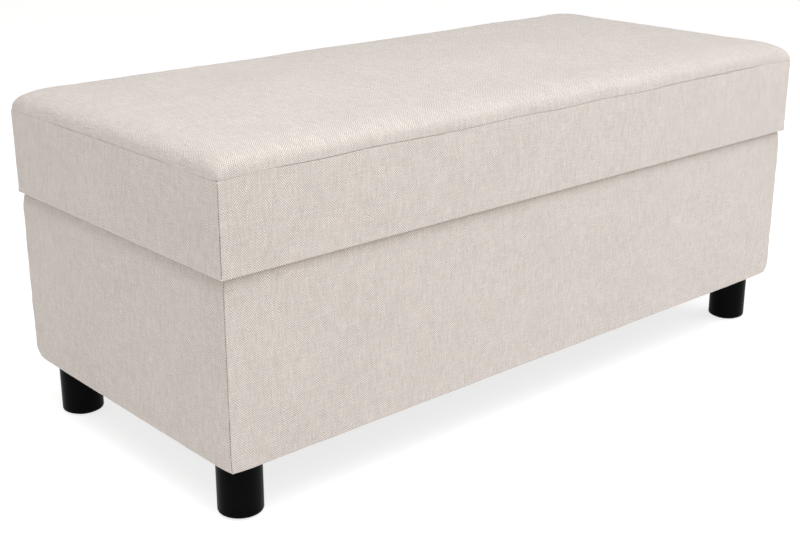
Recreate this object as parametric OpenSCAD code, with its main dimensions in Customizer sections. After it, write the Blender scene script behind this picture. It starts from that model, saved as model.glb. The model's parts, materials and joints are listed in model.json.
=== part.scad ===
// Upholstered storage bench: a fabric-covered box on four round legs, with a
// cushioned lid that turns on two butt hinges and is held open by two gas struts.
// Origin: centre of the box's footprint, on the floor. +X along the bench, -Y is the
// front and +Z is up. Millimetres.

/* [Box] */
// Length of the box over its fabric
base_l = 1091; // [900:1:1300]
// Depth of the box over its fabric
base_w = 485; // [440:1:600]
// Height of the box from its underside to its rim
base_h = 242; // [200:1:320]
// Thickness of the side panels and the lid board
panel_t = 15; // [12:1:18]
// Thickness of the floor panel of the storage space
bottom_t = 10; // [8:1:15]
// Height of the battens and leg blocks under the floor panel
rail_h = 31; // [25:1:45]
// Width of the battens
rail_w = 25; // [20:1:40]
// Side of the square leg blocks
block_w = 80; // [75:1:110]
// Thickness of the foam sheet on the outside of the panels
padding_t = 5; // [3:1:10]
// Thickness of the upholstery fabric
fabric_t = 1; // [0.6:0.1:1.5]
// Radius of the fabric round the upright corners
corner_r = 5; // [2:0.5:6]
// How far the fabric is turned in under the box
base_turn = 30; // [20:1:34]
// How far the fabric is turned down inside the rim
rim_turn = 30; // [15:1:60]

/* [Lid] */
// How far the lid stands past the box at the front and the ends
overhang = 4.5; // [2:0.5:10]
// Gap between the rim and the lid
lid_gap = 4; // [4:0.1:6]
// Height of the upright border of the cushion
border_h = 114; // [80:1:140]
// Height of the crowned top above the border seam
crown_h = 32; // [10:1:45]
// How far the border fabric is turned in under the lid board
lid_turn = 45; // [40:1:60]
// Inset of the cloth on the lid's underside from the lid's edge
cloth_inset = 27; // [24:1:35]
// Thickness of the underside cloth and of the dust cover
cloth_t = 0.6; // [0.4:0.1:1]

/* [Legs] */
// Height of the underside of the box above the floor
leg_h = 78; // [50:1:150]
// Leg diameter
leg_d = 58; // [40:1:62]
// Leg centre from the end of the box
leg_inset_x = 42; // [40:1:60]
// Leg centre from the front or back of the box
leg_inset_y = 46; // [40:1:60]
// Rounding of the leg's bottom edge
leg_edge_r = 3; // [1:0.5:6]
// Leg bolt diameter
bolt_d = 8; // [6:1:10]

/* [Hinges] */
// Middle of each hinge from the middle of the bench
hinge_x = 380; // [200:1:440]
// Length of a hinge
hinge_l = 80; // [60:1:100]
// Width of a hinge leaf
leaf_w = 22; // [20:1:24]
// Thickness of a hinge leaf
leaf_t = 1.5; // [1:0.1:1.6]
// Hinge pin diameter
pin_d = 4; // [3:0.5:5]
// Outside diameter of a hinge knuckle
knuckle_d = 7.6; // [7:0.1:9]
// Gap between the box's back and the knuckles
knuckle_gap = 0.4; // [0.3:0.1:1]

/* [Gas struts] */
// Distance from the hinge axis to both ends of a strut
strut_reach = 150; // [145:1:155]
// Drop of the lid end of the strut below the hinge axis
strut_drop = 18; // [17:1:22]
// Box end of the strut in front of the hinge axis
strut_setback = 38; // [36:1:45]
// Middle plane of a strut from the middle of the bench
strut_x = 512; // [505:0.5:512]
// Strut tube diameter
tube_d = 15; // [14:0.5:15]
// Strut rod diameter
rod_d = 6; // [5:0.5:6]
// Stud diameter at both ends of a strut
stud_d = 8; // [6:1:8]

/* [Hidden] */
$fn = 64;
LEFT = -1;
RIGHT = 1;
FRONT = -1;
BACK = 1;
SIDES = [-1, 1];

// Colours
fabric_colour = [0.85, 0.82, 0.78];
cloth_colour = [0.62, 0.60, 0.57];
wood_colour = [0.80, 0.66, 0.46];
foam_colour = [0.93, 0.90, 0.72];
leg_colour = [0.06, 0.06, 0.06];
steel_colour = [0.72, 0.73, 0.74];

// Box: heights and plan sizes
cover_z = leg_h;
rim_z = leg_h + base_h;
panel_z = cover_z + fabric_t;
panel_h = base_h - 2 * fabric_t;
skin_t = padding_t + fabric_t;
panel_l = base_l - 2 * skin_t;
panel_w = base_w - 2 * skin_t;
inside_l = panel_l - 2 * panel_t;
inside_w = panel_w - 2 * panel_t;
bottom_z = panel_z + rail_h;
lining_z = bottom_z + bottom_t;
flap_z = rim_z - rim_turn;
dust_inset = 12;
// How far joined shapes run into each other, and cutting shapes run past a solid
lap = 1;
dust_z = cover_z - cloth_t;
rail_l = inside_l - 2 * block_w;
end_rail_l = inside_w - 2 * block_w;

// Lid: heights and plan sizes; its back is flush with the box's back
lid_l = base_l + 2 * overhang;
lid_w = base_w + overhang;
lid_y = -overhang / 2;
lid_z = rim_z + lid_gap;
board_z = lid_z + fabric_t;
foam_z = board_z + panel_t;
seam_z = lid_z + border_h;
lid_front = lid_y - lid_w / 2;
board_r = 7;
cloth_l = lid_l - 2 * cloth_inset;
cloth_back_inset = 36;
cloth_w = lid_w - cloth_inset - cloth_back_inset;
cloth_y = lid_front + cloth_inset + cloth_w / 2;
under_z = lid_z - cloth_t;
crown_run = 34;
crown_rise = 0.72;
crown_steps = 6;
crown_top = 0.45;
slice = 0.01;
slack = 0.3;

// Legs
leg_x = base_l / 2 - leg_inset_x;
leg_y = base_w / 2 - leg_inset_y;
glide_t = 2;
glide_d = leg_d - 12;
leg_edge_steps = 6;
bolt_depth = 30;
bolt_short = 1;
nut_flange_d = 22;
nut_flange_t = 1.6;
nut_barrel_d = 10;
nut_barrel_h = 11;

// Hinges: the axis is behind the box, halfway up the gap
hinge_y = base_w / 2 + knuckle_gap + knuckle_d / 2;
hinge_z = rim_z + lid_gap / 2;
knuckles = 5;
knuckle_l = hinge_l / knuckles;
knuckle_play = 0.3;
pin_play = 0.05;
pin_head_d = 6;
pin_head_t = 1;
// The web from leaf to knuckle ends this far short of the axis
web_end = 2.4;
hinge_screws_x = [-28, 0, 28];
screw_y = panel_w / 2 - panel_t / 2;

// Screws
screw_d = 3.5;
screw_head_d = 6.8;
screw_head_h = 1.5;
screw_l = 14;
screw_tip_d = 1;

// Gas struts: both pivots lie strut_reach from the hinge axis, so a strut turns by
// half of the lid's angle
strut_a = [hinge_y - strut_setback, hinge_z - sqrt(pow(strut_reach, 2) - pow(strut_setback, 2))];
strut_c = [hinge_y - sqrt(pow(strut_reach, 2) - pow(strut_drop, 2)), hinge_z - strut_drop];
strut_closed = norm(strut_c - strut_a);
strut_lean = atan2(strut_a[0] - strut_c[0], strut_c[1] - strut_a[1]);
eye_d = 16;
eye_t = 8;
stud_play = 0.06;
neck_d = 7;
tube_start = 11;
tube_floor = 17;
tube_short = 16;
tube_end = strut_closed - tube_short;
gland_t = 5.7;
tube_wall = 1;
rod_reach = 149;
piston_l = 8;
rod_play = 0.06;
bracket_t = 2;
bracket_w = 30;
bracket_h = 44;
bracket_screw = 15;
bracket_shift = 4;
shoulder_d = 12;
stud_head_d = 11;
stud_head_t = 2;
ear_w = 20;
ear_gap = 0.5;
ear_x = strut_x + tube_d / 2 + ear_gap;
lid_plate_w = 24;
lid_plate_l = 50;
lid_plate_screw = 18;
base_plate_x = inside_l / 2 - fabric_t;

// Staples
staple_w = 10;
staple_wire = 0.6;
staple_leg = 8;
staple_pitch = 50;
staple_inset = 7;
staple_clear = 20;

// Bumpers on the rim
bumper_d = 12;
bumper_x = 430;
bumper_play = 0.05;

// Points of an upright-cornered outline of size l by w with rounded corners
function outline(l, w, r, n = 8) = [
    for (q = [0:3], i = [0:n])
        let (a = 90 * q + 90 * i / n,
             cx = (q == 0 || q == 3 ? 1 : -1) * (l / 2 - r),
             cy = (q < 2 ? 1 : -1) * (w / 2 - r))
        [cx + r * cos(a), cy + r * sin(a)]
];

module prism(l, w, r, z, h) {
    translate([0, 0, z]) linear_extrude(h) polygon(outline(l, w, r));
}

module block(l, w, z, h) {
    translate([-l / 2, -w / 2, z]) cube([l, w, h]);
}

// Countersunk wood screw, driven towards +Z with the face of its head at z = 0
module screw() {
    cylinder(d1 = screw_head_d, d2 = screw_d, h = screw_head_h);
    translate([0, 0, screw_head_h]) cylinder(d = screw_d, h = screw_l - 2 * screw_head_h);
    translate([0, 0, screw_l - screw_head_h]) cylinder(d1 = screw_d, d2 = screw_tip_d, h = screw_head_h);
}

// Wire staple, driven towards +Z, with its crown along X just below z = 0
module staple() {
    translate([-staple_w / 2, -staple_wire / 2, -staple_wire])
        cube([staple_w, staple_wire, staple_wire]);
    for (s = SIDES)
        translate([s * (staple_w - staple_wire) / 2 - staple_wire / 2, -staple_wire / 2, 0])
            cube([staple_wire, staple_wire, staple_leg]);
}

// Places along a side of length l, clear of its corners and of a fitting from off to on
function staple_row(l, clear, off = 0, on = 0) = [
    let (n = floor((l - 2 * clear) / staple_pitch))
    for (i = [0:n]) let (x = (i - n / 2) * staple_pitch) if (x <= off || x >= on) x
];

// Staples along the four sides of a rectangle, with a fitting at each end from off to on
module staple_frame(l, w, clear, off = 0, on = 0) {
    for (s = SIDES) {
        for (x = staple_row(l, clear)) translate([x, s * w / 2, 0]) staple();
        for (y = staple_row(w, clear, off, on))
            translate([s * l / 2, y, 0]) rotate([0, 0, 90]) staple();
    }
}

// ---- Box ----

module long_panel(side) {
    color(wood_colour)
    difference() {
        translate([0, side * (panel_w - panel_t) / 2, 0]) block(panel_l, panel_t, panel_z, panel_h);
        if (side == BACK) hinge_base_screws();
    }
}

module end_panel(side) {
    color(wood_colour)
    difference() {
        translate([side * (panel_l - panel_t) / 2, 0, 0]) block(panel_t, inside_w, panel_z, panel_h);
        strut_base_screws();
    }
}

module bottom_panel() {
    color(wood_colour) block(inside_l, inside_w, bottom_z, bottom_t);
}

module at_legs() {
    for (sx = SIDES, sy = SIDES) translate([sx * leg_x, sy * leg_y, 0]) children();
}

module corner_blocks() {
    color(wood_colour)
    difference() {
        for (sx = SIDES, sy = SIDES)
            translate([sx * (inside_l - block_w) / 2, sy * (inside_w - block_w) / 2, 0])
                block(block_w, block_w, panel_z, rail_h);
        at_legs() {
            translate([0, 0, panel_z - lap]) cylinder(d = nut_barrel_d, h = rail_h + 2 * lap);
            translate([0, 0, bottom_z - nut_flange_t]) cylinder(d = nut_flange_d, h = nut_flange_t + lap);
        }
    }
}

module long_rail(side) {
    color(wood_colour)
    translate([0, side * (inside_w - rail_w) / 2, 0]) block(rail_l, rail_w, panel_z, rail_h);
}

module end_rail(side) {
    color(wood_colour)
    translate([side * (inside_l - rail_w) / 2, 0, 0]) block(rail_w, end_rail_l, panel_z, rail_h);
}

module centre_bearer() {
    color(wood_colour) block(rail_w, inside_w - 2 * rail_w, panel_z, rail_h);
}

module long_padding(side) {
    color(foam_colour)
    translate([0, side * (panel_w + padding_t) / 2, 0]) block(panel_l, padding_t, panel_z, panel_h);
}

module end_padding(side) {
    color(foam_colour)
    translate([side * (panel_l + padding_t) / 2, 0, 0]) block(padding_t, panel_w, panel_z, panel_h);
}

module base_cover() {
    t = fabric_t;
    color(fabric_colour)
    difference() {
        prism(base_l, base_w, corner_r, cover_z, base_h);
        // the space that the padded panels fill
        difference() {
            prism(base_l - 2 * t, base_w - 2 * t, corner_r - t, cover_z + t, base_h - 2 * t);
            block(inside_l, inside_w, flap_z, rim_z);
        }
        block(inside_l - 2 * t, inside_w - 2 * t, flap_z - t, rim_z);
        block(inside_l, inside_w, cover_z + t, flap_z - cover_z - t);
        block(base_l - 2 * base_turn, base_w - 2 * base_turn, cover_z - t, 3 * t);
        hinge_base_screws();
    }
}

module inner_lining() {
    t = fabric_t;
    color(cloth_colour)
    difference() {
        block(inside_l, inside_w, lining_z, flap_z - lining_z);
        block(inside_l - 2 * t, inside_w - 2 * t, lining_z + t, base_h);
        strut_base_screws();
    }
}

module dust_cover() {
    color(leg_colour)
    difference() {
        block(base_l - 2 * dust_inset, base_w - 2 * dust_inset, dust_z, cloth_t);
        at_legs() translate([0, 0, dust_z - lap]) cylinder(d = bolt_d, h = 3 * lap);
    }
}

module dust_cover_staples() {
    color(steel_colour)
    translate([0, 0, dust_z])
        staple_frame(panel_l - panel_t, panel_w - panel_t, leg_d + leg_inset_x);
}

// ---- Legs ----

function leg_profile() = concat(
    [[0, glide_t]],
    [for (i = [0:leg_edge_steps]) let (a = 90 * i / leg_edge_steps - 90)
        [leg_d / 2 - leg_edge_r + leg_edge_r * cos(a), glide_t + leg_edge_r + leg_edge_r * sin(a)]],
    [[leg_d / 2, dust_z], [0, dust_z]]
);

module leg(sx, sy) {
    color(leg_colour)
    translate([sx * leg_x, sy * leg_y, 0])
    difference() {
        rotate_extrude($fn = 96) polygon(leg_profile());
        translate([0, 0, dust_z - bolt_depth]) cylinder(d = bolt_d, h = bolt_depth + lap);
    }
}

module leg_bolts() {
    color(steel_colour)
    at_legs() translate([0, 0, dust_z - bolt_depth])
        cylinder(d = bolt_d, h = bottom_z - bolt_short - dust_z + bolt_depth);
}

module leg_tee_nuts() {
    color(steel_colour)
    at_legs() difference() {
        union() {
            translate([0, 0, bottom_z - nut_flange_t]) cylinder(d = nut_flange_d, h = nut_flange_t);
            translate([0, 0, bottom_z - nut_barrel_h]) cylinder(d = nut_barrel_d, h = nut_barrel_h);
        }
        translate([0, 0, bottom_z - 2 * nut_barrel_h]) cylinder(d = bolt_d, h = 3 * nut_barrel_h);
    }
}

module foot_glides() {
    color(cloth_colour)
    at_legs() cylinder(d = glide_d, h = glide_t);
}

// ---- Hinges ----

// One leaf at x = 0. Knuckles first, first + 2, and so on belong to it.
module leaf(z, first, bore_d) {
    plate_y = base_w / 2 - leaf_w;
    web_y = base_w / 2 - lap;
    difference() {
        union() {
            translate([-hinge_l / 2, plate_y, z]) cube([hinge_l, leaf_w, leaf_t]);
            for (k = [first:2:knuckles - 1]) {
                x0 = (k - knuckles / 2) * knuckle_l + (k == 0 ? 0 : knuckle_play / 2);
                x1 = (k + 1 - knuckles / 2) * knuckle_l - (k == knuckles - 1 ? 0 : knuckle_play / 2);
                translate([x0, hinge_y, hinge_z]) rotate([0, 90, 0])
                    cylinder(d = knuckle_d, h = x1 - x0);
                translate([x0, web_y, z]) cube([x1 - x0, hinge_y - web_end - web_y, leaf_t]);
            }
        }
        translate([-hinge_l, hinge_y, hinge_z]) rotate([0, 90, 0]) cylinder(d = bore_d, h = 2 * hinge_l);
    }
}

module hinge_base_leaf(side) {
    color(steel_colour)
    difference() {
        translate([side * hinge_x, 0, 0]) leaf(rim_z, 0, pin_d);
        hinge_base_screws();
    }
}

module hinge_lid_leaf(side) {
    color(steel_colour)
    difference() {
        translate([side * hinge_x, 0, 0]) leaf(lid_z - leaf_t, 1, pin_d + 2 * pin_play);
        hinge_lid_screws();
    }
}

module hinge_pin(side) {
    color(steel_colour)
    translate([side * hinge_x - hinge_l / 2, hinge_y, hinge_z]) rotate([0, 90, 0]) {
        translate([0, 0, -pin_head_t]) cylinder(d = pin_head_d, h = pin_head_t);
        cylinder(d = pin_d, h = hinge_l);
        translate([0, 0, hinge_l]) cylinder(d = pin_head_d, h = pin_head_t);
    }
}

module hinge_base_screws() {
    color(steel_colour)
    for (s = SIDES, x = hinge_screws_x)
        translate([s * hinge_x + x, screw_y, rim_z + leaf_t]) mirror([0, 0, 1]) screw();
}

module hinge_lid_screws() {
    color(steel_colour)
    for (s = SIDES, x = hinge_screws_x)
        translate([s * hinge_x + x, screw_y, lid_z - leaf_t]) screw();
}

module lid_bumpers() {
    color(leg_colour)
    for (sx = SIDES, sy = SIDES)
        translate([sx * bumper_x, sy * screw_y, rim_z])
            cylinder(d = bumper_d, h = lid_gap - bumper_play);
}

// ---- Lid ----

// A crowned pad: an outline that curves in and up to a flatter top
module crown(l, w, r, rise) {
    hull() {
        for (i = [0:crown_steps]) let (a = 90 * i / crown_steps, inset = crown_run * (1 - cos(a)))
            translate([0, lid_y, seam_z + crown_rise * rise * sin(a)])
                linear_extrude(slice) polygon(outline(l - 2 * inset, w - 2 * inset, r + inset / 2));
        translate([0, lid_y, seam_z + rise - slice])
            linear_extrude(slice) polygon(outline(crown_top * l, crown_top * w, crown_run));
    }
}

module at_lid() {
    translate([0, lid_y, 0]) children();
}

module lid_board() {
    color(wood_colour)
    difference() {
        at_lid() prism(lid_l - 2 * fabric_t, lid_w - 2 * fabric_t, board_r, board_z, panel_t);
        hinge_lid_screws();
        strut_lid_screws();
    }
}

module lid_foam() {
    color(foam_colour)
    at_lid() prism(lid_l - 2 * fabric_t, lid_w - 2 * fabric_t, board_r, foam_z, seam_z - foam_z);
}

module lid_wadding() {
    inset = 2 * (fabric_t + slack);
    color("white") crown(lid_l - inset, lid_w - inset, corner_r, crown_h - fabric_t - slack);
}

module lid_top_cover() {
    color(fabric_colour)
    difference() {
        crown(lid_l, lid_w, corner_r, crown_h);
        crown(lid_l - 2 * fabric_t, lid_w - 2 * fabric_t, corner_r, crown_h - fabric_t);
    }
}

module lid_border_long(side) {
    t = fabric_t;
    color(fabric_colour)
    difference() {
        at_lid() {
            translate([0, side * (lid_w - t) / 2, 0]) block(lid_l, t, lid_z, border_h);
            translate([0, side * (lid_w - lid_turn) / 2, 0]) block(lid_l, lid_turn, lid_z, t);
        }
        hinge_lid_screws();
    }
}

module lid_border_end(side) {
    t = fabric_t;
    color(fabric_colour)
    difference() {
        at_lid() {
            translate([side * (lid_l - t) / 2, 0, 0]) block(t, lid_w - 2 * t, lid_z + t, border_h - t);
            translate([side * (lid_l - lid_turn) / 2, 0, 0])
                block(lid_turn, lid_w - 2 * lid_turn, lid_z, t);
            translate([side * (lid_l - t) / 2, 0, 0]) block(t, lid_w - 2 * lid_turn, lid_z, 2 * t);
        }
        strut_lid_screws();
    }
}

module lid_underside_cloth() {
    color(cloth_colour)
    difference() {
        translate([0, cloth_y, 0]) block(cloth_l, cloth_w, under_z, cloth_t);
        strut_lid_screws();
    }
}

module lid_staples() {
    color(steel_colour)
    translate([0, cloth_y, under_z])
        staple_frame(
            cloth_l - 2 * staple_inset, cloth_w - 2 * staple_inset, staple_clear,
            strut_c[0] - cloth_y - lid_plate_l / 2 - staple_w,
            strut_c[0] - cloth_y + lid_plate_l / 2 + staple_w
        );
}

// ---- Gas struts ----

// Stud along X, from a plate's face at x = from to its head beyond the eye
module stud(from) {
    eye_out = eye_t / 2 + slack;
    translate([-eye_out - stud_head_t, 0, 0]) rotate([0, 90, 0])
        cylinder(d = stud_head_d, h = stud_head_t);
    translate([-eye_out - lap, 0, 0]) rotate([0, 90, 0]) cylinder(d = stud_d, h = from + eye_out + lap);
    translate([eye_out, 0, 0]) rotate([0, 90, 0]) cylinder(d = shoulder_d, h = from - eye_out);
}

// Draws for the right end, and mirrors it for the left end
module at_end(side) {
    mirror([side == LEFT ? 1 : 0, 0, 0]) children();
}

module strut_base_bracket(side) {
    plate_x = base_plate_x - bracket_t;
    color(steel_colour)
    difference() {
        at_end(side) {
            translate([plate_x, strut_a[0] - bracket_w / 2 - bracket_shift, strut_a[1] - bracket_h / 2])
                cube([bracket_t, bracket_w, bracket_h]);
            translate([strut_x, strut_a[0], strut_a[1]]) stud(plate_x - strut_x);
        }
        strut_base_screws();
    }
}

module strut_base_screws() {
    color(steel_colour)
    for (side = SIDES, s = SIDES)
        at_end(side)
            translate([base_plate_x - bracket_t, strut_a[0] - bracket_shift, strut_a[1]])
                translate([0, 0, s * bracket_screw]) rotate([0, 90, 0]) screw();
}

module strut_lid_bracket(side) {
    plate_z = under_z - bracket_t;
    color(steel_colour)
    difference() {
        at_end(side) {
            translate([ear_x + bracket_t - lid_plate_w, strut_c[0] - lid_plate_l / 2, plate_z])
                cube([lid_plate_w, lid_plate_l, bracket_t]);
            translate([ear_x, strut_c[0] - ear_w / 2, strut_c[1]])
                cube([bracket_t, ear_w, plate_z - strut_c[1] + lap]);
            translate([ear_x, strut_c[0], strut_c[1]]) rotate([0, 90, 0])
                cylinder(d = ear_w, h = bracket_t);
            translate([strut_x, strut_c[0], strut_c[1]]) stud(ear_x - strut_x);
        }
        strut_lid_screws();
    }
}

module strut_lid_screws() {
    color(steel_colour)
    for (side = SIDES, s = SIDES)
        at_end(side)
            translate([strut_x - bracket_shift, strut_c[0] + s * lid_plate_screw, under_z - bracket_t])
                screw();
}

module eye() {
    rotate([0, 90, 0]) cylinder(d = eye_d, h = eye_t, center = true);
}

module eye_bore() {
    rotate([0, 90, 0]) cylinder(d = stud_d + 2 * stud_play, h = 2 * eye_t, center = true);
}

module strut_cylinder(side) {
    color("black")
    translate([side * strut_x, strut_a[0], strut_a[1]]) rotate([strut_lean, 0, 0])
    difference() {
        union() {
            eye();
            cylinder(d = neck_d, h = tube_start + lap);
            translate([0, 0, tube_start]) cylinder(d = tube_d, h = tube_end - tube_start);
        }
        eye_bore();
        translate([0, 0, tube_floor])
            cylinder(d = tube_d - 2 * tube_wall, h = tube_end - gland_t - tube_floor);
        translate([0, 0, tube_floor]) cylinder(d = rod_d + 2 * rod_play, h = tube_end);
    }
}

module strut_rod(side) {
    color(steel_colour)
    translate([side * strut_x, strut_c[0], strut_c[1]]) rotate([strut_lean, 0, 0])
    difference() {
        union() {
            eye();
            translate([0, 0, -tube_start]) cylinder(d = neck_d, h = tube_start);
            translate([0, 0, -rod_reach]) cylinder(d = rod_d, h = rod_reach);
        }
        eye_bore();
    }
}

module strut_piston(side) {
    color("dimgray")
    translate([side * strut_x, strut_c[0], strut_c[1]]) rotate([strut_lean, 0, 0])
    translate([0, 0, -rod_reach])
    difference() {
        cylinder(d = tube_d - 2 * tube_wall - 2 * rod_play, h = piston_l);
        translate([0, 0, -lap]) cylinder(d = rod_d, h = piston_l + 2 * lap);
    }
}

long_panel(FRONT);  // front_panel
long_panel(BACK);  // back_panel
end_panel(LEFT);  // left_panel
end_panel(RIGHT);  // right_panel
bottom_panel();
corner_blocks();
long_rail(FRONT);  // front_rail
long_rail(BACK);  // back_rail
end_rail(LEFT);  // left_rail
end_rail(RIGHT);  // right_rail
centre_bearer();
long_padding(FRONT);  // front_padding
long_padding(BACK);  // back_padding
end_padding(LEFT);  // left_padding
end_padding(RIGHT);  // right_padding
base_cover();
inner_lining();
dust_cover();
dust_cover_staples();
leg(LEFT, FRONT);  // leg_front_left
leg(RIGHT, FRONT);  // leg_front_right
leg(LEFT, BACK);  // leg_back_left
leg(RIGHT, BACK);  // leg_back_right
leg_bolts();
leg_tee_nuts();
foot_glides();
hinge_base_leaf(LEFT);  // hinge_base_leaf_left
hinge_base_leaf(RIGHT);  // hinge_base_leaf_right
hinge_pin(LEFT);  // hinge_pin_left
hinge_pin(RIGHT);  // hinge_pin_right
hinge_base_screws();
strut_base_bracket(LEFT);  // strut_base_bracket_left
strut_base_bracket(RIGHT);  // strut_base_bracket_right
strut_base_screws();
lid_bumpers();
lid_board();
lid_foam();
lid_wadding();
lid_top_cover();
lid_border_long(FRONT);  // lid_border_front
lid_border_long(BACK);  // lid_border_back
lid_border_end(LEFT);  // lid_border_left
lid_border_end(RIGHT);  // lid_border_right
lid_underside_cloth();
lid_staples();
hinge_lid_leaf(LEFT);  // hinge_lid_leaf_left
hinge_lid_leaf(RIGHT);  // hinge_lid_leaf_right
hinge_lid_screws();
strut_lid_bracket(LEFT);  // strut_lid_bracket_left
strut_lid_bracket(RIGHT);  // strut_lid_bracket_right
strut_lid_screws();
strut_cylinder(LEFT);  // strut_cylinder_left
strut_cylinder(RIGHT);  // strut_cylinder_right
strut_rod(LEFT);  // strut_rod_left
strut_rod(RIGHT);  // strut_rod_right
strut_piston(LEFT);  // strut_piston_left
strut_piston(RIGHT);  // strut_piston_right
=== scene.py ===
import json
import math

import bpy
import numpy as np
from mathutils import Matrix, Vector


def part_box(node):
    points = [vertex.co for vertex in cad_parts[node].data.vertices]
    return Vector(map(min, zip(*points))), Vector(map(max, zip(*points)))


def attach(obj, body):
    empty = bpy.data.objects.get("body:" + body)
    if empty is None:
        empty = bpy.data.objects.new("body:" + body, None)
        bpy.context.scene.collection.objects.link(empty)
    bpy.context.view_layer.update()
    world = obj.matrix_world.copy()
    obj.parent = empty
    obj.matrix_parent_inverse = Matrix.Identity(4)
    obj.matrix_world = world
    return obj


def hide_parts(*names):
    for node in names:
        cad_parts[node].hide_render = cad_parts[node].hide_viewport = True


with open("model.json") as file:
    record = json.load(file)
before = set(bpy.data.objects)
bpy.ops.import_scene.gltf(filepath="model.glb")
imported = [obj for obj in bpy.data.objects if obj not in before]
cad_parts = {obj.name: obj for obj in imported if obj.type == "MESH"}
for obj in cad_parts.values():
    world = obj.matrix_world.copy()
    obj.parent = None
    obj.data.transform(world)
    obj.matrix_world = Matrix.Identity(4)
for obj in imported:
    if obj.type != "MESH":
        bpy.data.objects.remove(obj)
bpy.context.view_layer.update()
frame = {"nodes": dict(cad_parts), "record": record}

# The looks of an upholstered storage bench. Every place comes from the frame, in metres.
# A cloth piece is a closed thin shell. Its "weave" attribute holds the flat cloth's own
# coordinates, in metres, so that the yarns follow the cloth round folds and edges.

MM = 0.001
FRONT, BACK, LEFT, RIGHT = "front", "back", "left", "right"
SIDES = (FRONT, BACK, LEFT, RIGHT)


def join(*boxes):
    """The lowest and highest corner of several boxes together."""
    lows, highs = zip(*boxes)
    return Vector(map(min, *lows)), Vector(map(max, *highs))


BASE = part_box("base_cover")
LID = join(*[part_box(f"lid_border_{side}") for side in SIDES])
TOP_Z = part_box("lid_top_cover")[1].z
SEAM_Z = LID[1].z
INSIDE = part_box("inner_lining")
CLOTH = 0.7 * MM
LINING = 0.8 * MM

# Sewn seams: each edge rolls in with this radius, and the two edges meet in a groove
SEAM_R = 0.85 * MM


def add_object(name, data):
    """A new object in the scene."""
    made = bpy.data.objects.new(name, data)
    bpy.context.scene.collection.objects.link(made)
    return made


# ---- Camera, light and floor ----

# Fitted to the photograph: focal length in mm, place in metres, turn and tilt down in radians
LENS = 59.6
CAMERA_PLACE = (-1.3166, -1.4103, 0.8201)
CAMERA_YAW, CAMERA_TILT = 0.7251, 0.3342

# What both lamps point at
LIT_PLACE = (0, 0, 0.25)
# Half of the floor's width, and how far it lies below the feet so that no faces coincide
FLOOR_HALF, FLOOR_GAP = 14.0, 0.2 * MM


def make_camera():
    data = bpy.data.cameras.new("camera")
    data.lens = LENS
    data.clip_end = 100
    camera = add_object("camera", data)
    camera.location = CAMERA_PLACE
    camera.rotation_euler = (math.pi / 2 - CAMERA_TILT, 0, -CAMERA_YAW)
    bpy.context.scene.camera = camera


def make_light(name, place, size, power, colour):
    """A rectangular area light that points at the bench."""
    data = bpy.data.lights.new(name, "AREA")
    data.shape = "RECTANGLE"
    data.size, data.size_y = size
    data.energy = power
    data.color = colour
    light = add_object(name, data)
    light.location = place
    light.rotation_euler = (Vector(LIT_PLACE) - Vector(place)).to_track_quat("-Z", "Y").to_euler()


def make_studio():
    """A bright surround, two large lamps and a white floor that glows a little."""
    world = bpy.data.worlds.new("studio")
    bpy.context.scene.world = world
    world.use_nodes = True
    background = world.node_tree.nodes["Background"]
    background.inputs["Color"].default_value = (1.0, 0.955, 0.91, 1)
    background.inputs["Strength"].default_value = 0.44
    make_light("key", (2.1, -1.5, 1.9), (2.0, 1.6), 30, (0.93, 0.965, 1.0))
    make_light("overhead", (-0.7, -0.8, 2.7), (2.2, 2.0), 60, (0.95, 0.975, 1.0))
    mesh = bpy.data.meshes.new("floor")
    r = FLOOR_HALF
    mesh.from_pydata([(-r, -r, 0), (r, -r, 0), (r, r, 0), (-r, r, 0)], [], [(0, 1, 2, 3)])
    floor = add_object("floor", mesh)
    floor.location.z = -FLOOR_GAP
    shade = Shade("glowing_floor_paper", (0.44, 0.44, 0.44), 0.9)
    shade.set("Specular IOR Level", 0.1)
    # painted light: the floor glows, so the bench's shadow on it stays faint and the floor lights
    # the bench from below
    shade.set("Emission Color", (1, 1, 1, 1))
    shade.set("Emission Strength", 0.77)
    shade.bump(shade.noise(shade.place(), 180, 2), 0.05, 0.2 * MM)
    mesh.materials.append(shade.material)


# ---- Materials ----

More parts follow.
